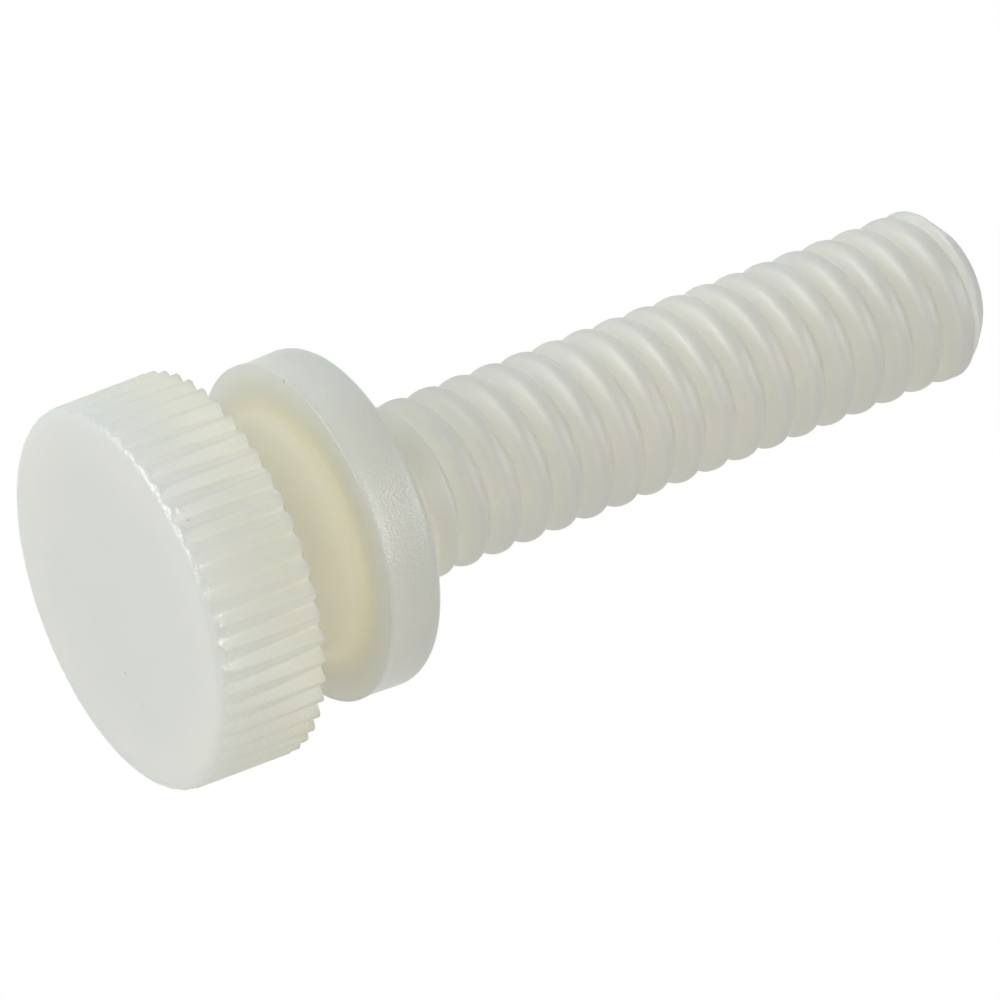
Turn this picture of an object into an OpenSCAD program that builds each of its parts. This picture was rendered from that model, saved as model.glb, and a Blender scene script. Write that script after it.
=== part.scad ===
// Knurled thumb screw with a flanged head and a 1/4"-20 thread, moulded in one piece.
// It stands on the flat face of its head, with the shank pointing up along +Z.
// The origin is the centre of that face. Millimetres.

/* [Head] */
// Diameter over the tips of the teeth, at the back of the head
head_d = 13.6; // [13:0.1:16]
// Height of the knurled head, from its flat face
head_h = 4.2; // [3.5:0.1:6]
// Radius of the rounding round the flat face
face_round = 0.4; // [0.3:0.05:0.8]
// Bevel on the back ends of the teeth
back_bevel = 0.35; // [0.1:0.05:0.6]
// Draft of the head's side, in degrees
head_draft = 1; // [0:0.1:1.5]
// Number of straight teeth
teeth = 50; // [40:1:60]
// Depth of a tooth
tooth_depth = 0.3; // [0.2:0.01:0.35]

/* [Neck and flange] */
// Diameter of the neck between head and flange
neck_d = 8; // [7:0.1:9.5]
// Length of the neck, which is the width of the groove
neck_l = 2.8; // [2.2:0.05:4]
// Radius of the fillets at both ends of the neck
neck_fillet = 0.6; // [0.3:0.05:0.9]
// Diameter of the flange
flange_d = 12; // [11.4:0.1:13]
// Thickness of the flange
flange_h = 2.15; // [1.6:0.05:3]
// Radius of the rounding on the flange's bearing side
flange_round = 0.5; // [0.2:0.05:0.8]
// How far the rim dips behind its front edge
rim_dip = 0.12; // [0:0.01:0.2]

/* [Threaded shank] */
// Major diameter of the thread
shank_d = 6.2; // [6:0.01:6.35]
// Pitch of the thread, 20 to the inch
pitch = 1.27; // [1.25:0.01:1.3]
// Depth of the thread
thread_depth = 0.64; // [0.5:0.01:0.66]
// Radius of the rounded crests
crest_round = 0.42; // [0.3:0.01:0.44]
// Length from the bearing face to the tip
shank_l = 25.05; // [15:0.05:30]
// Plain length of the shank next to the flange
collar_l = 1; // [0.6:0.1:2]
// Turns over which the groove grows to its full depth
runout_turns = 1.5; // [0.5:0.25:3]
// Diameter of the flat end of the tip
tip_d = 4.6; // [4:0.1:5]
// Share of the groove's depth that is gone at the tip
tip_fade = 0.6; // [0:0.05:0.9]
// Radius of the fillet between shank and flange
shank_fillet = 0.25; // [0.1:0.05:0.4]

/* [Resolution] */
// Sides round the thread
thread_sides = 32; // [24:1:34]

/* [Hidden] */
$fn = 96;

head_r = head_d / 2;
neck_r = neck_d / 2;
flange_r = flange_d / 2;
shank_r = shank_d / 2;
tip_r = tip_d / 2;
flange_z = head_h + neck_l;              // front of the flange
bearing_z = flange_z + flange_h;         // the face that clamps
tip_z = bearing_z + shank_l;
collar_z = bearing_z + collar_l;         // where the thread starts
sink = 0.4;                              // how far joined shapes run into each other

// Knurl: a tooth is a trapezium with a narrow flat tip and a narrower root
tooth_turn = 2.1;                        // turns the ring of teeth, in degrees
tooth_corners = [[-0.40, 0], [-0.10, 1], [0.10, 1], [0.40, 0]]; // [share of a tooth, share of its depth]

// Flange rim: a fine lip at the front edge, a shallow dip behind it
lip_w = 0.12;
lip_bevel = 0.08;
lip_set = 0.02;                          // how far the lip stays inside the flange's largest radius
dip_w = 0.3;

// Thread: 60 degree flanks between rounded crests and narrow valleys
flank = 60;                              // slope of a flank against the axis
crest_drop = 0.03;                       // how far the crests stay under the collar's surface
profile = [0, 0.06, 0.21, 0.35, 0.5, 0.65, 0.79, 0.94]; // points along one pitch, from valley to valley
profile_n = len(profile);
valley_z = 12.105;                       // height at which a valley crosses the +X side
tip_slope = 1;                           // rise over run of the chamfer at the tip
start_z = collar_z - sink;               // the thread's skin starts inside the collar
fade_turns = 1.5;                        // turns over which the groove fades towards the tip

// From 0 to 1 without a corner at either end
function ease(u) = let (v = min(1, max(0, u))) v * v * (3 - 2 * v);
// Depth of the valleys at z: none at the collar, all of it after the run-out, less again at the tip
function valley(z) = thread_depth * ease((z - collar_z) / (runout_turns * pitch))
    * (1 - tip_fade * ease((z - tip_z) / (fade_turns * pitch) + 1));
// Distance of a point from the nearest crest's middle, along the axis
function off_crest(a, z) = let (s = (z - valley_z) / pitch - a / 360) pitch * abs(s - floor(s) - 0.5);
// How far a full-depth groove lies under the crest, x away from its middle
function drop(x) = let (bend = crest_round * sin(flank))
    x < bend ? crest_round - sqrt(crest_round * crest_round - x * x)
             : crest_round * (1 - cos(flank)) + (x - bend) * tan(flank);
function thread_r(a, z) =
    min(shank_r - crest_drop - max(0, min(thread_depth, drop(off_crest(a, z))) - thread_depth + valley(z)),
        tip_r + (tip_z - z) * tip_slope);

// Heights along the side at angle a: the profile's points, turn after turn, held between both ends
first_turn = floor((start_z - valley_z) / pitch) - 1;
last_turn = ceil((tip_z - valley_z) / pitch);
rows = (last_turn - first_turn + 1) * profile_n;
function row_z(a, j) =
    let (turn = first_turn + floor(j / profile_n), s = profile[j % profile_n])
    min(tip_z, max(start_z, valley_z + pitch * (turn + s + a / 360)));

// Knurled head: straight teeth inside a rounded, slightly drafted outline
module knurled_head() {
    front_r = head_r - head_h * tan(head_draft);
    intersection() {
        rotate_extrude() {
            polygon([[0, face_round], [front_r, face_round], [head_r, head_h - back_bevel],
                     [head_r - back_bevel, head_h], [0, head_h]]);
            translate([front_r - face_round, face_round]) circle(face_round);
            square([front_r - face_round, 2 * face_round]);
        }
        translate([0, 0, -1]) linear_extrude(head_h + 2) polygon([
            for (t = [0 : teeth - 1], c = tooth_corners)
                let (a = tooth_turn + (t + c[0]) * 360 / teeth, r = head_r - tooth_depth * (1 - c[1]))
                [r * cos(a), r * sin(a)]
        ]);
    }
}

// Neck with a fillet at each end
module neck() {
    rotate_extrude() difference() {
        translate([0, head_h - sink]) square([neck_r + neck_fillet, neck_l + 2 * sink]);
        translate([neck_r + neck_fillet, head_h + neck_fillet]) circle(neck_fillet);
        translate([neck_r + neck_fillet, flange_z - neck_fillet]) circle(neck_fillet);
        translate([neck_r, head_h + neck_fillet]) square([2 * neck_fillet, neck_l - 2 * neck_fillet]);
    }
}

// Flange with a lipped front edge and a rounded bearing side, and the plain collar of the shank
module flange() {
    lip_r = flange_r - lip_set;
    rotate_extrude() {
        polygon([[0, flange_z], [lip_r - lip_bevel, flange_z], [lip_r, flange_z + lip_bevel],
                 [lip_r, flange_z + lip_w], [flange_r - rim_dip, flange_z + lip_w + dip_w],
                 [flange_r, bearing_z - flange_round], [0, bearing_z - flange_round]]);
        translate([flange_r - flange_round, bearing_z - flange_round]) circle(flange_round);
        translate([0, bearing_z - 2 * flange_round]) square([flange_r - flange_round, 2 * flange_round]);
    }
    cylinder(h = collar_z, r = shank_r);
    rotate_extrude() difference() {
        translate([0, bearing_z - sink]) square([shank_r + shank_fillet, sink + shank_fillet]);
        translate([shank_r + shank_fillet, bearing_z + shank_fillet]) circle(shank_fillet);
    }
}

// Right-hand thread as one closed skin, with its rows along the helix and its start sunk in the collar
module thread() {
    n = thread_sides;
    side = [for (i = [0 : n - 1], j = [0 : rows - 1])
        let (a = 360 * i / n, z = row_z(a, j), r = thread_r(a, z)) [r * cos(a), r * sin(a), z]];
    // The last column meets the first one a turn lower down the helix
    seam = [for (j = [0 : rows - 1]) let (z = row_z(360, j), r = thread_r(0, z)) [r, 0, z]];
    foot_at = len(side) + len(seam);
    points = concat(side, seam, [[0, 0, start_z], [0, 0, tip_z]]);
    skin = [for (i = [0 : n - 1], j = [0 : rows - 2])
        let (p = i * rows + j, q = p + rows)
        each concat(points[q + 1][2] > points[q][2] ? [[p, q + 1, q]] : [],
                    points[p + 1][2] > points[p][2] ? [[p, p + 1, q + 1]] : [])];
    ends = [for (i = [0 : n - 1]) let (p = i * rows, q = p + rows)
        each [[foot_at, p, q], [foot_at + 1, q + rows - 1, p + rows - 1]]];
    polyhedron(points, concat(skin, ends));
}

module thumb_screw() {
    color([0.86, 0.86, 0.82]) {
        knurled_head();
        neck();
        flange();
        thread();
    }
}

thumb_screw();
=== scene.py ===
import math

import bpy
from mathutils import Matrix, Vector


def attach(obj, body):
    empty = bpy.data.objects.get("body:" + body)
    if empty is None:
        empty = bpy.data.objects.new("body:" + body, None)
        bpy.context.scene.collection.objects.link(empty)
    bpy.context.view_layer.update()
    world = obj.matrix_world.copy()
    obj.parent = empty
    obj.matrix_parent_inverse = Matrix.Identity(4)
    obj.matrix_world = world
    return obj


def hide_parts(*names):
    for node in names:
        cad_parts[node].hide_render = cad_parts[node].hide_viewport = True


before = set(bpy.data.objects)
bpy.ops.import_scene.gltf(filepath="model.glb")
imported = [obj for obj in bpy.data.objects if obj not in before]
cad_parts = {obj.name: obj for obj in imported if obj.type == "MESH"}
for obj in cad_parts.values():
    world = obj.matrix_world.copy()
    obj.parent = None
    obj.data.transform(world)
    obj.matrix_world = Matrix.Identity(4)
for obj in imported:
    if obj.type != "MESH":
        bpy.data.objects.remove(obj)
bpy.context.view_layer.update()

MM = 0.001

# Sizes of the screw in millimetres. They are the solid's, apart from the teeth and the rim's dip.
HEAD_R, HEAD_H = 6.8, 4.2
FACE_ROUND = 0.4
DRAFT = math.radians(1.0)
NECK_R, NECK_L, NECK_FILLET = 4.0, 2.8, 0.6
FLANGE_R, FLANGE_H, FLANGE_ROUND = 6.0, 2.15, 0.5
SHANK_R, PITCH, THREAD_DEPTH, SHANK_L = 3.1, 1.27, 0.64, 25.05
COLLAR_L, RUNOUT_TURNS, SHANK_FILLET = 1.0, 1.5, 0.25
TIP_R, TIP_SLOPE = 2.3, 1.0
VALLEY_Z, CREST_ROUND, FLANK = 12.105, 0.42, math.radians(60)
TIP_FADE, FADE_TURNS = 0.6, 1.5

# Teeth: deeper than the solid's, shallow at the face, with square ends and a small cone behind them
TEETH, TOOTH_DEPTH, TOOTH_TURN = 50, 0.42, math.radians(-0.3)
FRONT_SHARE = 0.3  # depth at the face, as a share of the depth at the back
TOOTH_END, END_BEVEL = 3.97, 0.06
CONE_START, CONE_END = 0.55, 0.75  # how far inside the head's radius the cone starts and ends
TOOTH_FOOT, TOOTH_FLANK = 0.96, 0.90  # where a flank ends and how wide it is, in half teeth
TIP_SOFT, ROOT_SOFT = 0.10, 0.12  # rounding of a tooth's tip and root, as shares of its depth
FACE_SOFT = 0.03  # rounding where the teeth meet the head's outline

# Flange rim: a fine lip at the front edge and a shallow dip behind it
LIP_SET, LIP_ROUND, LIP_W = 0.02, 0.06, 0.08
RIM_DIP, DIP_W = 0.05, 0.34

# Roundings of the thread: in its valleys, on its crests and at the edge of the tip
VALLEY_SOFT, CREST_SOFT, TIP_ROUND = 0.1, 0.06, 0.12

FLANGE_Z = HEAD_H + NECK_L
BEARING_Z = FLANGE_Z + FLANGE_H
COLLAR_Z = BEARING_Z + COLLAR_L
TIP_SET = 0.0005  # keeps the tip inside the solid's box
TIP_Z = BEARING_Z + SHANK_L - TIP_SET

# Columns round the head, and how many of them make one column elsewhere
COLUMNS, COARSE = 600, 5
ROWS_A_TURN, CROWDING = 20, 0.55  # rings of the thread, and how much closer they are in a valley
COLLAR_END = 0.4  # from the collar's last ring to the start of the thread
MERGE_MM = 0.0004


def arc(centre_r, centre_z, radius, start, end, steps):
    """Points on an arc of the outline, as (radius, height); angles in degrees from straight out."""
    points = []
    for i in range(steps + 1):
        a = math.radians(start + (end - start) * i / steps)
        points.append((centre_r + radius * math.cos(a), centre_z + radius * math.sin(a)))
    return points


def outline_rings():
    """The screw's outline, face to tip; each ring is (radius, height, teeth, helix, step)."""
    rings = []

    def add(points, teeth=0.0, helix=0.0, step=COARSE):
        for r, z in points:
            rings.append((r, z, teeth, helix, step))

    # Face, toothed side and the cone behind the teeth
    front_r = HEAD_R - HEAD_H * math.tan(DRAFT)
    add([(r, 0.0) for r in (0.0, 2.5, 4.6, 5.6)])
    add(arc(front_r - FACE_ROUND, FACE_ROUND, FACE_ROUND, -90, 0, 14), teeth=1.0, step=1)
    side_from, side_to = FACE_ROUND, TOOTH_END - END_BEVEL
    for i in range(1, 6):
        z = side_from + (side_to - side_from) * i / 5
        add([(front_r + (HEAD_R - front_r) * z / HEAD_H, z)], teeth=1.0, step=1)
    end_r = front_r + (HEAD_R - front_r) * TOOTH_END / HEAD_H
    for i in range(1, 4):
        add([(end_r - END_BEVEL * i / 3, side_to + END_BEVEL * i / 3)], teeth=1.0, step=1)
    fillet_r = NECK_R + NECK_FILLET
    beside = fillet_r + 0.1
    add([(HEAD_R - CONE_START, TOOTH_END), (HEAD_R - CONE_END, HEAD_H), (5.6, HEAD_H),
         (beside, HEAD_H)])

    # Neck
    add(arc(fillet_r, HEAD_H + NECK_FILLET, NECK_FILLET, 270, 180, 8))
    add(arc(fillet_r, FLANGE_Z - NECK_FILLET, NECK_FILLET, 180, 90, 8))

    # Flange
    lip_r = FLANGE_R - LIP_SET
    add([(beside, FLANGE_Z), (lip_r - 0.3, FLANGE_Z)])
    add(arc(lip_r - LIP_ROUND, FLANGE_Z + LIP_ROUND, LIP_ROUND, 270, 360, 6))
    for i in range(1, 9):
        u = i / 8
        dip_r = lip_r + (FLANGE_R - RIM_DIP - lip_r) * (3 * u * u - 2 * u ** 3)
        add([(dip_r, FLANGE_Z + LIP_W + DIP_W * u)])
    dip_z = FLANGE_Z + LIP_W + DIP_W
    rim_z = BEARING_Z - FLANGE_ROUND
    for i in range(1, 5):
        u = i / 4
        add([(FLANGE_R - RIM_DIP * (1 - u), dip_z + (rim_z - dip_z) * u)])
    add(arc(FLANGE_R - FLANGE_ROUND, rim_z, FLANGE_ROUND, 0, 90, 10)[1:])

    # Collar
    foot_r = SHANK_R + SHANK_FILLET
    add([(foot_r + 0.3, BEARING_Z)])
    add(arc(foot_r, BEARING_Z + SHANK_FILLET, SHANK_FILLET, 270, 180, 6))
    add([(SHANK_R, COLLAR_Z - COLLAR_END)])

    # The thread's rings climb along the helix, closer together where the valleys are narrow
    first = math.floor((COLLAR_Z - VALLEY_Z) / PITCH) - 1
    last = math.ceil((TIP_Z - VALLEY_Z) / PITCH)
    for turn in range(first, last):
        for i in range(ROWS_A_TURN):
            u = (i + 0.5) / ROWS_A_TURN
            u = u - CROWDING * math.sin(2 * math.pi * u) / (2 * math.pi)
            add([(SHANK_R, VALLEY_Z + PITCH * (turn + u))], helix=1.0)
    add([(TIP_R - TIP_ROUND, TIP_Z), (1.2, TIP_Z), (0.0, TIP_Z)])
    return rings


class Field:
    """A number in a node tree, so that a rule can be written as a sum."""

    def __init__(self, tree, socket):
        self.tree, self.socket = tree, socket

    def math(self, operation, *others, clamp=False):
        node = self.tree.nodes.new("ShaderNodeMath")
        node.operation, node.use_clamp = operation, clamp
        for slot, value in zip(node.inputs, (self, *others)):
            if isinstance(value, Field):
                self.tree.links.new(value.socket, slot)
            else:
                slot.default_value = value
        return Field(self.tree, node.outputs[0])

    def __add__(self, other):
        return self.math("ADD", other)

    def __sub__(self, other):
        return self.math("SUBTRACT", other)

    def __mul__(self, other):
        return self.math("MULTIPLY", other)

    def __truediv__(self, other):
        return self.math("DIVIDE", other)

    def ease(self):
        """From 0 to 1 without a corner at either end."""
        held = self.math("MAXIMUM", 0.0).math("MINIMUM", 1.0)
        return held * held * (held * -2.0 + 3.0)


SKIN_INPUTS = {
    "Columns": COLUMNS,
    "Rings": 0,
    "Teeth": TEETH,
    "Tooth depth": TOOTH_DEPTH * MM,
    "Tooth turn": TOOTH_TURN,
    "Tooth end": TOOTH_END * MM,
    "Front share": FRONT_SHARE,
    "Head radius": HEAD_R * MM,
    "Head height": HEAD_H * MM,
    "Draft slope": math.tan(DRAFT),
    "Shank radius": SHANK_R * MM,
    "Pitch": PITCH * MM,
    "Thread depth": THREAD_DEPTH * MM,
    "Valley height": VALLEY_Z * MM,
    "Crest rounding": CREST_ROUND * MM,
    "Flank slope": math.tan(FLANK),
    "Crest end": CREST_ROUND * math.sin(FLANK) * MM,
    "Collar height": COLLAR_Z * MM,
    "Run-out turns": RUNOUT_TURNS,
    "Tip height": TIP_Z * MM,
    "Tip fade": TIP_FADE,
    "Fade turns": FADE_TURNS,
    "Tip radius": TIP_R * MM,
    "Tip slope": TIP_SLOPE,
    "Tip rounding": TIP_ROUND * MM,
}


def skin_tree(material):
    """Wraps rings round the axis, cuts the teeth and winds the thread round the shank."""
    tree = bpy.data.node_groups.new("screw_skin", "GeometryNodeTree")
    for way in ("INPUT", "OUTPUT"):
        tree.interface.new_socket("Geometry", in_out=way, socket_type="NodeSocketGeometry")
    for name, value in SKIN_INPUTS.items():
        kind = "NodeSocketInt" if isinstance(value, int) else "NodeSocketFloat"
        tree.interface.new_socket(name, in_out="INPUT", socket_type=kind)
    entry = tree.nodes.new("NodeGroupInput")
    leave = tree.nodes.new("NodeGroupOutput")
    link = tree.links.new
    size = {name: Field(tree, entry.outputs[name]) for name in SKIN_INPUTS}

    nudge = 0.0001  # keeps a whole number from being rounded down to the one below it
    grid = tree.nodes.new("GeometryNodeMeshGrid")
    across = size["Columns"] + 1
    link(across.socket, grid.inputs["Vertices Y"])
    link(size["Rings"].socket, grid.inputs["Vertices X"])
    index = Field(tree, tree.nodes.new("GeometryNodeInputIndex").outputs[0])
    ring = (index / across + nudge).math("FLOOR")
    column = index - ring * across

    def of_ring(name, kind="FLOAT"):
        """What the outline says about this ring."""
        sample = tree.nodes.new("GeometryNodeSampleIndex")
        sample.data_type = kind
        link(entry.outputs["Geometry"], sample.inputs["Geometry"])
        link(ring.socket, sample.inputs["Index"])
        if name == "position":
            source = tree.nodes.new("GeometryNodeInputPosition").outputs[0]
        else:
            reader = tree.nodes.new("GeometryNodeInputNamedAttribute")
            reader.data_type = "FLOAT"
            reader.inputs["Name"].default_value = name
            source = reader.outputs["Attribute"]
        link(source, sample.inputs["Value"])
        return sample.outputs[0]

    split = tree.nodes.new("ShaderNodeSeparateXYZ")
    link(of_ring("position", "FLOAT_VECTOR"), split.inputs[0])
    ring_r, ring_z = Field(tree, split.outputs["X"]), Field(tree, split.outputs["Z"])
    toothed, helical = Field(tree, of_ring("teeth")), Field(tree, of_ring("helix"))
    step = Field(tree, of_ring("step"))

    # Coarse rings put several columns in one place, and the merge below makes them one
    turn = (column / step + nudge).math("FLOOR") * step / size["Columns"]

    # Teeth: ridges with round tips and narrower roots, shallow at the face and deepest at the back
    tooth = (turn - size["Tooth turn"] / math.tau) * size["Teeth"]
    from_crest = ((tooth + 0.5).math("FRACT") - 0.5).math("ABSOLUTE") * 2.0
    ridge = (from_crest * -1.0 + TOOTH_FOOT) / TOOTH_FLANK
    ridge = ridge.math("SMOOTH_MIN", 1.0, TIP_SOFT).math("SMOOTH_MAX", 0.0, ROOT_SOFT)
    along = (ring_z / size["Tooth end"]).math("MINIMUM", 1.0)
    share = size["Front share"] + (size["Front share"] * -1.0 + 1.0) * along
    drafted = size["Head radius"] - (size["Head height"] - ring_z) * size["Draft slope"]
    tooth_r = drafted - size["Tooth depth"] * share * (ridge * -1.0 + 1.0)
    cut_r = ring_r.math("SMOOTH_MIN", tooth_r, FACE_SOFT * MM)
    head_r = ring_r + (cut_r - ring_r) * toothed

    # Thread: the height climbs with the turn, held between collar and tip
    climb_z = ring_z + size["Pitch"] * turn
    held_z = climb_z.math("MAXIMUM", size["Collar height"]).math("MINIMUM", size["Tip height"])
    grown = ((held_z - size["Collar height"]) / (size["Run-out turns"] * size["Pitch"])).ease()
    faded = ((held_z - size["Tip height"]) / (size["Fade turns"] * size["Pitch"]) + 1.0).ease()
    valley = size["Thread depth"] * grown * (size["Tip fade"] * faded * -1.0 + 1.0)
    above_zero = 64.0  # whole turns, so that the part after the point is that of a positive number
    lobe = ((held_z - size["Valley height"]) / size["Pitch"] - turn + above_zero).math("FRACT")
    off = (lobe - 0.5).math("ABSOLUTE") * size["Pitch"]
    rounded = size["Crest rounding"]
    inside = off.math("MINIMUM", size["Crest end"])
    crest = rounded - (rounded * rounded - inside * inside).math("SQRT")
    drop = crest + (off - inside) * size["Flank slope"]
    groove = drop.math("SMOOTH_MIN", size["Thread depth"], VALLEY_SOFT * MM)
    groove = groove - size["Thread depth"] + valley
    groove = groove.math("SMOOTH_MAX", 0.0, CREST_SOFT * MM) * grown.math("GREATER_THAN", 0.0)
    wound_r = size["Shank radius"] - groove
    cone_r = size["Tip radius"] + (size["Tip height"] - held_z) * size["Tip slope"]
    wound_r = wound_r.math("SMOOTH_MIN", cone_r, size["Tip rounding"])

    radius = head_r + (wound_r - head_r) * helical
    height = ring_z + (held_z - ring_z) * helical
    angle = turn * math.tau
    place = tree.nodes.new("ShaderNodeCombineXYZ")
    link((radius * angle.math("COSINE")).socket, place.inputs["X"])
    link((radius * angle.math("SINE")).socket, place.inputs["Y"])
    link(height.socket, place.inputs["Z"])

    put = tree.nodes.new("GeometryNodeSetPosition")
    link(grid.outputs["Mesh"], put.inputs["Geometry"])
    link(place.outputs[0], put.inputs["Position"])
    merge = tree.nodes.new("GeometryNodeMergeByDistance")
    merge.inputs["Distance"].default_value = MERGE_MM * MM
    link(put.outputs[0], merge.inputs["Geometry"])
    outward = tree.nodes.new("GeometryNodeFlipFaces")  # the grid's own faces point inwards
    link(merge.outputs[0], outward.inputs["Mesh"])
    smooth = tree.nodes.new("GeometryNodeSetShadeSmooth")
    link(outward.outputs[0], smooth.inputs["Geometry"])
    real = tree.nodes.new("GeometryNodeRealizeInstances")
    link(smooth.outputs[0], real.inputs[0])
    finish = tree.nodes.new("GeometryNodeSetMaterial")
    finish.inputs["Material"].default_value = material
    link(real.outputs[0], finish.inputs["Geometry"])
    link(finish.outputs[0], leave.inputs["Geometry"])
    return tree


def make_screw(material):
    """The whole screw as one closed skin."""
    rings = outline_rings()
    mesh = bpy.data.meshes.new("screw_outline")
    points = [(r * MM, 0, z * MM) for r, z, *_ in rings]
    mesh.from_pydata(points, [(i, i + 1) for i in range(len(rings) - 1)], [])
    for place, name in enumerate(("teeth", "helix", "step"), start=2):
        values = mesh.attributes.new(name, "FLOAT", "POINT").data
        values.foreach_set("value", [ring[place] for ring in rings])
    outline = bpy.data.objects.new("screw_outline", mesh)
    bpy.context.scene.collection.objects.link(outline)

    tree = skin_tree(material)
    sizes = dict(SKIN_INPUTS, Rings=len(rings))
    winding = outline.modifiers.new("skin", "NODES")
    winding.node_group = tree
    for item in tree.interface.items_tree:
        if item.item_type == "SOCKET" and item.in_out == "INPUT" and item.name in sizes:
            winding[item.identifier] = sizes[item.name]
    done = outline.evaluated_get(bpy.context.evaluated_depsgraph_get())
    skin = bpy.data.meshes.new_from_object(done)
    bpy.data.objects.remove(outline)
    skin.name = "screw"
    screw = bpy.data.objects.new("screw", skin)
    bpy.context.scene.collection.objects.link(screw)
    return screw


# Tones of the nylon over the face, teeth, flange and shank, with painted light among them: the
# teeth go darker and warmer towards their back as painted shade, the neck's groove gets a brighter,
# warmer painted glow of light bounced in the recess, and the collar is lifted with painted light
# out of the flange's shadow
FACE_TONE = (0.775, 0.80, 0.755)
KNURL_TONE_AND_SHADE = (0.71, 0.71, 0.62)
FLANGE_TONE = (0.73, 0.745, 0.69)
GROOVE_PAINTED_GLOW_AND_CLOUD_TONE = (0.94, 0.91, 0.735)
COLLAR_PAINTED_LIGHT_TONE = (0.80, 0.80, 0.69)
SHANK_TONE = (0.665, 0.67, 0.64)
SPECK_TONE = (0.22, 0.19, 0.14)

# Noise of the surface: its sizes in millimetres, and the range that most of it lies in
CLOUD_SIZE, GRAIN_SIZE, PEBBLE_SIZE, RIPPLE_SIZE = 4.0, 0.09, 0.25, 0.9
NOISE_LOW, NOISE_HIGH = 0.3, 0.7
CLOUD_SHARE = 0.12

# Specks: the width of a cell, the share of cells without one, and the speck's own edge and strength
SPECK_CELL, SPECK_RARE = 1.2, 0.6
SPECK_CORE, SPECK_EDGE, SPECK_STRENGTH = 0.02, 0.05, 0.7

# Relief in millimetres, which is bump alone
FACE_GRAIN, SIDE_GRAIN, RIM_GRAIN = 0.007, 0.016, 0.024
RIPPLE_DEPTH, PEBBLE_DEPTH = 0.008, 0.08

SHINE_LOW, SHINE_HIGH, SATIN_MORE = 0.285, 0.325, 0.18  # roughness
NYLON_IOR = 1.53
SCATTER_DEPTH, SCATTER_TINT = 2.6, (1.0, 0.9, 0.7)  # how deep light goes into the nylon


class Paint:
    """Adds the nodes of a material one rule at a time."""

    def __init__(self, tree):
        self.tree = tree
        self.where = tree.nodes.new("ShaderNodeTexCoord").outputs["Object"]
        split = tree.nodes.new("ShaderNodeSeparateXYZ")
        tree.links.new(self.where, split.inputs[0])
        x, y = Field(tree, split.outputs["X"]), Field(tree, split.outputs["Y"])
        self.radius = (x * x + y * y).math("SQRT")
        self.height = Field(tree, split.outputs["Z"])

    def ramp(self, value, low, high, start=0.0, end=1.0):
        """Goes smoothly from start to end as the value goes from low to high."""
        node = self.tree.nodes.new("ShaderNodeMapRange")
        node.interpolation_type = "SMOOTHSTEP"
        self.tree.links.new(value.socket, node.inputs["Value"])
        limits = {"From Min": low, "From Max": high, "To Min": start, "To Max": end}
        for name, number in limits.items():
            node.inputs[name].default_value = number
        return Field(self.tree, node.outputs["Result"])

    def up(self, low, high, start=0.0, end=1.0):
        """Goes from start to end between two heights in millimetres."""
        return self.ramp(self.height, low * MM, high * MM, start, end)

    def out(self, low, high, start=0.0, end=1.0):
        """Goes from start to end between two radii in millimetres."""
        return self.ramp(self.radius, low * MM, high * MM, start, end)

    def noise(self, size):
        """Even noise, its lumps about as wide as size in millimetres."""
        node = self.tree.nodes.new("ShaderNodeTexNoise")
        node.inputs["Scale"].default_value = 1.0 / (size * MM)
        node.inputs["Detail"].default_value = 2.0
        self.tree.links.new(self.where, node.inputs["Vector"])
        return Field(self.tree, node.outputs["Fac"])

    def blend(self, share, first, second):
        """Mixes two colours, each a socket or three numbers."""
        node = self.tree.nodes.new("ShaderNodeMix")
        node.data_type = "RGBA"
        self.tree.links.new(share.socket, node.inputs["Factor"])
        for slot, colour in zip((node.inputs[6], node.inputs[7]), (first, second)):
            if isinstance(colour, tuple):
                slot.default_value = (*colour, 1)
            else:
                self.tree.links.new(colour, slot)
        return node.outputs[2]

    def specks(self):
        """A few small dots, each in its own cell."""
        node = self.tree.nodes.new("ShaderNodeTexVoronoi")
        node.inputs["Scale"].default_value = 1.0 / (SPECK_CELL * MM)
        self.tree.links.new(self.where, node.inputs["Vector"])
        chance = self.tree.nodes.new("ShaderNodeSeparateColor")
        self.tree.links.new(node.outputs["Color"], chance.inputs[0])
        picked = Field(self.tree, chance.outputs[0]).math("GREATER_THAN", SPECK_RARE)
        away = Field(self.tree, node.outputs["Distance"])
        return self.ramp(away, SPECK_CORE, SPECK_EDGE, SPECK_STRENGTH, 0.0) * picked


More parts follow.
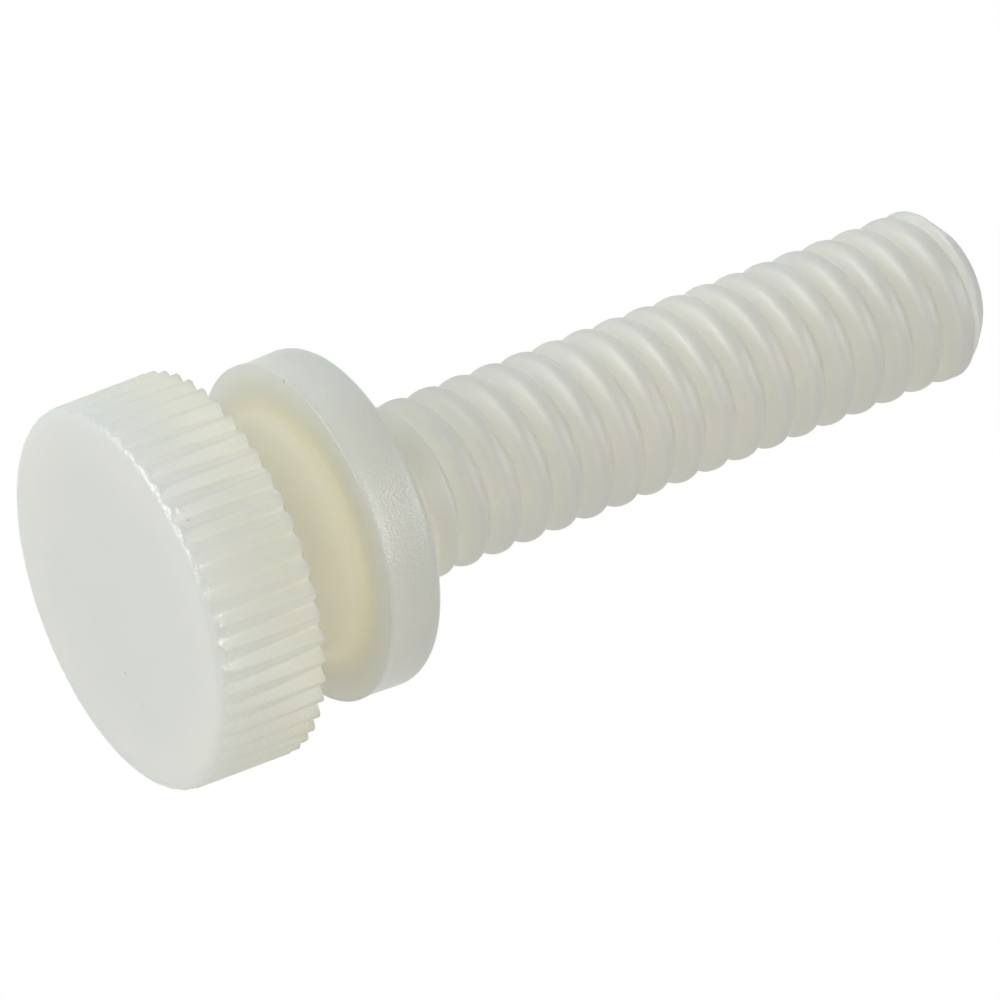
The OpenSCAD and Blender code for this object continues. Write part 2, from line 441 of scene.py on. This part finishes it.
def natural_nylon():
    """Milky nylon with a brighter, warmer painted glow down in the neck's groove, painted shade on
    the teeth's back, painted light on the collar, a fine moulded grain and a few specks.
    """
    mat = bpy.data.materials.new("natural_nylon")
    mat.use_nodes = True
    tree = mat.node_tree
    shader = tree.nodes["Principled BSDF"]
    paint = Paint(tree)

    # From the face to the tip, each tone runs softly into the next
    # The teeth go darker and warmer from the face towards their back, partly the nylon's tone and
    # partly painted shade
    tone = paint.blend(paint.up(0.5, HEAD_H), FACE_TONE, KNURL_TONE_AND_SHADE)
    tone = paint.blend(paint.up(HEAD_H, FLANGE_Z), tone, FLANGE_TONE)
    # Painted light: the collar is made brighter where the flange shades it, fading into the shank's
    # tone
    tone = paint.blend(paint.up(BEARING_Z - 0.3, BEARING_Z), tone, COLLAR_PAINTED_LIGHT_TONE)
    tone = paint.blend(paint.up(BEARING_Z + 0.8, BEARING_Z + 3.5), tone, SHANK_TONE)
    # Painted light: the shaded groove between head and flange gets a brighter, warmer tone that
    # stands in for light bounced inside the recess
    painted_groove_glow = (paint.up(HEAD_H - 0.5, HEAD_H + 0.3)
                 * paint.up(FLANGE_Z - 0.1, FLANGE_Z + 0.3, 1.0, 0.0)
                 * paint.out(NECK_R + 0.2, FLANGE_R - 0.6, 1.0, 0.0))
    tone = paint.blend(painted_groove_glow, tone, GROOVE_PAINTED_GLOW_AND_CLOUD_TONE)
    # Random clouds of the same warm tone, which the nylon has under any lamp
    cloud = paint.ramp(paint.noise(CLOUD_SIZE), NOISE_LOW, NOISE_HIGH, 0.0, CLOUD_SHARE)
    tone = paint.blend(cloud, tone, GROOVE_PAINTED_GLOW_AND_CLOUD_TONE)
    tone = paint.blend(paint.specks(), tone, SPECK_TONE)
    tree.links.new(tone, shader.inputs["Base Color"])

    # The face and the flange's rim shine a little more than the teeth, the neck and the shank
    rim = (paint.up(FLANGE_Z - 0.1, FLANGE_Z + 0.2)
           * paint.up(BEARING_Z - 0.2, BEARING_Z + 0.1, 1.0, 0.0)
           * paint.out(FLANGE_R - 1.2, FLANGE_R - 0.2))
    satin = paint.up(0.3, 0.9) - rim
    patchy = paint.noise(RIPPLE_SIZE * 2)
    rough = paint.ramp(patchy, NOISE_LOW, NOISE_HIGH, SHINE_LOW, SHINE_HIGH) + satin * SATIN_MORE
    tree.links.new(rough.socket, shader.inputs["Roughness"])

    # Fine grain and slow ripples everywhere, and a pebbly edge round the face
    grain = paint.up(0.02, 0.15, FACE_GRAIN * MM, SIDE_GRAIN * MM) + rim * (RIM_GRAIN * MM)
    edge = paint.up(0.0, 0.1) * paint.up(0.3, 0.7, 1.0, 0.0)
    pebble = paint.noise(PEBBLE_SIZE) - 0.5
    relief = (paint.noise(GRAIN_SIZE) * grain + paint.noise(RIPPLE_SIZE) * (RIPPLE_DEPTH * MM)
              + pebble * edge * (PEBBLE_DEPTH * MM))
    bump = tree.nodes.new("ShaderNodeBump")
    bump.inputs["Distance"].default_value = 1.0
    tree.links.new(relief.socket, bump.inputs["Height"])
    tree.links.new(bump.outputs["Normal"], shader.inputs["Normal"])

    shader.subsurface_method = "BURLEY"
    shader.inputs["Subsurface Weight"].default_value = 1.0
    shader.inputs["Subsurface Radius"].default_value = SCATTER_TINT
    shader.inputs["Subsurface Scale"].default_value = SCATTER_DEPTH * MM
    shader.inputs["IOR"].default_value = NYLON_IOR
    return mat


FLOOR_HALF, FLOOR_GAP = 0.6, 0.02 * MM  # half its width, and how far it lies under the screw
FLOOR_TONE, FLOOR_GLOW = 0.86, 0.3


def mix_shaders(tree, share, first, second, output):
    """Sends a mix of two shaders to the output."""
    mix = tree.nodes.new("ShaderNodeMixShader")
    tree.links.new(share.socket, mix.inputs[0])
    tree.links.new(first.outputs[0], mix.inputs[1])
    tree.links.new(second.outputs[0], mix.inputs[2])
    tree.links.new(mix.outputs[0], tree.nodes[output].inputs["Surface"])


def paint_floor():
    """A pale floor that only a camera above it sees, so that it keeps no light from the screw."""
    mat = bpy.data.materials.new("pale_floor")
    mat.use_nodes = True
    tree = mat.node_tree
    shader = tree.nodes["Principled BSDF"]
    shader.inputs["Base Color"].default_value = (FLOOR_TONE, FLOOR_TONE, FLOOR_TONE, 1)
    shader.inputs["Roughness"].default_value = 0.9
    shader.inputs["Specular IOR Level"].default_value = 0.1
    shader.inputs["Emission Color"].default_value = (1, 1, 1, 1)
    shader.inputs["Emission Strength"].default_value = FLOOR_GLOW
    clear = tree.nodes.new("ShaderNodeBsdfTransparent")
    seen = Field(tree, tree.nodes.new("ShaderNodeLightPath").outputs["Is Camera Ray"])
    under = Field(tree, tree.nodes.new("ShaderNodeNewGeometry").outputs["Backfacing"])
    mix_shaders(tree, seen.math("SUBTRACT", under, clamp=True), clear, shader, "Material Output")
    return mat


def make_floor():
    """One wide square under the head."""
    corners = ((-1, -1), (1, -1), (1, 1), (-1, 1))
    mesh = bpy.data.meshes.new("floor")
    mesh.from_pydata([(FLOOR_HALF * x, FLOOR_HALF * y, -FLOOR_GAP) for x, y in corners],
                     [], [(0, 1, 2, 3)])
    floor = bpy.data.objects.new("floor", mesh)
    bpy.context.scene.collection.objects.link(floor)
    floor.data.materials.append(paint_floor())


def aim(obj, right, up, back, place):
    """Places a camera or lamp by its own axes."""
    turn = Matrix((right, up, back)).transposed()
    obj.matrix_world = Matrix.Translation(place) @ turn.to_4x4()


CAMERA_RIGHT = Vector((0.3579, -0.4244, 0.8317))
CAMERA_UP = Vector((-0.9338, -0.1627, 0.3188))
CAMERA_FORWARD = Vector((0.0, 0.8907, 0.4546))
CAMERA_PLACE = Vector((1.40, -200.67, -87.73)) * MM
SUBJECT = Vector((0.0, 0.0, 15.0)) * MM
SENSOR_MM, IMAGE_PX, FOCAL_PX = 36.0, 1000.0, 6610.5  # focal length as seen in a square image


def make_camera():
    """Looks up at the screw from beside its head."""
    data = bpy.data.cameras.new("camera")
    data.sensor_width = SENSOR_MM
    data.lens = SENSOR_MM * FOCAL_PX / IMAGE_PX
    data.clip_start, data.clip_end = 0.005, 10.0
    camera = bpy.data.objects.new("camera", data)
    bpy.context.scene.collection.objects.link(camera)
    back = -CAMERA_FORWARD.normalized()
    right = CAMERA_UP.cross(back).normalized()
    aim(camera, right, back.cross(right), back, CAMERA_PLACE)
    bpy.context.scene.camera = camera


def from_camera(direction):
    """A direction given in the camera's right, up and back."""
    right, up, back = direction
    return (CAMERA_RIGHT * right + CAMERA_UP * up - CAMERA_FORWARD * back).normalized()


LAMP_DISTANCE = 0.40
WORLD_LIGHT = 0.50


def lamp(name, direction, width, length, along, watts, colour=(1, 1, 1)):
    """A flat light that faces the screw."""
    data = bpy.data.lights.new(name, "AREA")
    data.shape, data.size, data.size_y = "RECTANGLE", width, length
    data.energy, data.color = watts, colour
    obj = bpy.data.objects.new(name, data)
    bpy.context.scene.collection.objects.link(obj)
    way = from_camera(direction)
    side = from_camera(along).cross(way).normalized()
    aim(obj, side, way.cross(side), way, SUBJECT + way * LAMP_DISTANCE)
    return obj


def softbox(name, direction, width, watts, colour=(1, 1, 1)):
    """A square soft light."""
    lamp(name, direction, width, width, (0, 1, 0), watts, colour)


def sheen_strip(name, direction, width, length, along, watts):
    """A strip that shows only as a sheen."""
    lamp(name, direction, width, length, along, watts).visible_diffuse = False


def light_world():
    """Even soft light, seen as white by the camera and in whatever mirrors it."""
    world = bpy.data.worlds.new("studio")
    bpy.context.scene.world = world
    world.use_nodes = True
    tree = world.node_tree
    soft = tree.nodes["Background"]
    white = tree.nodes.new("ShaderNodeBackground")
    for node, strength in ((soft, WORLD_LIGHT), (white, 1.0)):
        node.inputs["Color"].default_value = (1, 1, 1, 1)
        node.inputs["Strength"].default_value = strength
    rays = tree.nodes.new("ShaderNodeLightPath")
    seen = Field(tree, rays.outputs["Is Camera Ray"])
    for name in ("Is Transmission Ray", "Is Glossy Ray"):
        seen = seen.math("ADD", Field(tree, rays.outputs[name]), clamp=True)
    mix_shaders(tree, seen, soft, white, "World Output")


nylon = natural_nylon()
screw = make_screw(nylon)
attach(screw, "root")
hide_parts("thumb_screw")

make_floor()
make_camera()
light_world()
softbox("left", (-0.9, 0.1, 0.35), 0.20, 0.355)
softbox("top_left", (-0.55, 0.8, 0.2), 0.15, 0.08, (0.56, 0.78, 1.0))
softbox("top", (0.15, 0.86, -0.40), 0.15, 0.11, (0.46, 0.76, 1.0))
softbox("front", (-0.35, 0.35, 0.85), 0.15, 0.14)
softbox("below", (0.1, -0.7, 0.7), 0.15, 0.12, (1.0, 0.95, 0.80))
sheen_strip("edge_sheen", (-0.77, 0.24, 0.59), 0.11, 0.39, (0.30, -0.68, 0.67), 1.8)
sheen_strip("rim_sheen", (0.86, 0.20, 0.30), 0.11, 0.14, (0.28, -0.95, -0.15), 0.9)
bpy.context.scene.view_settings.view_transform = "Standard"
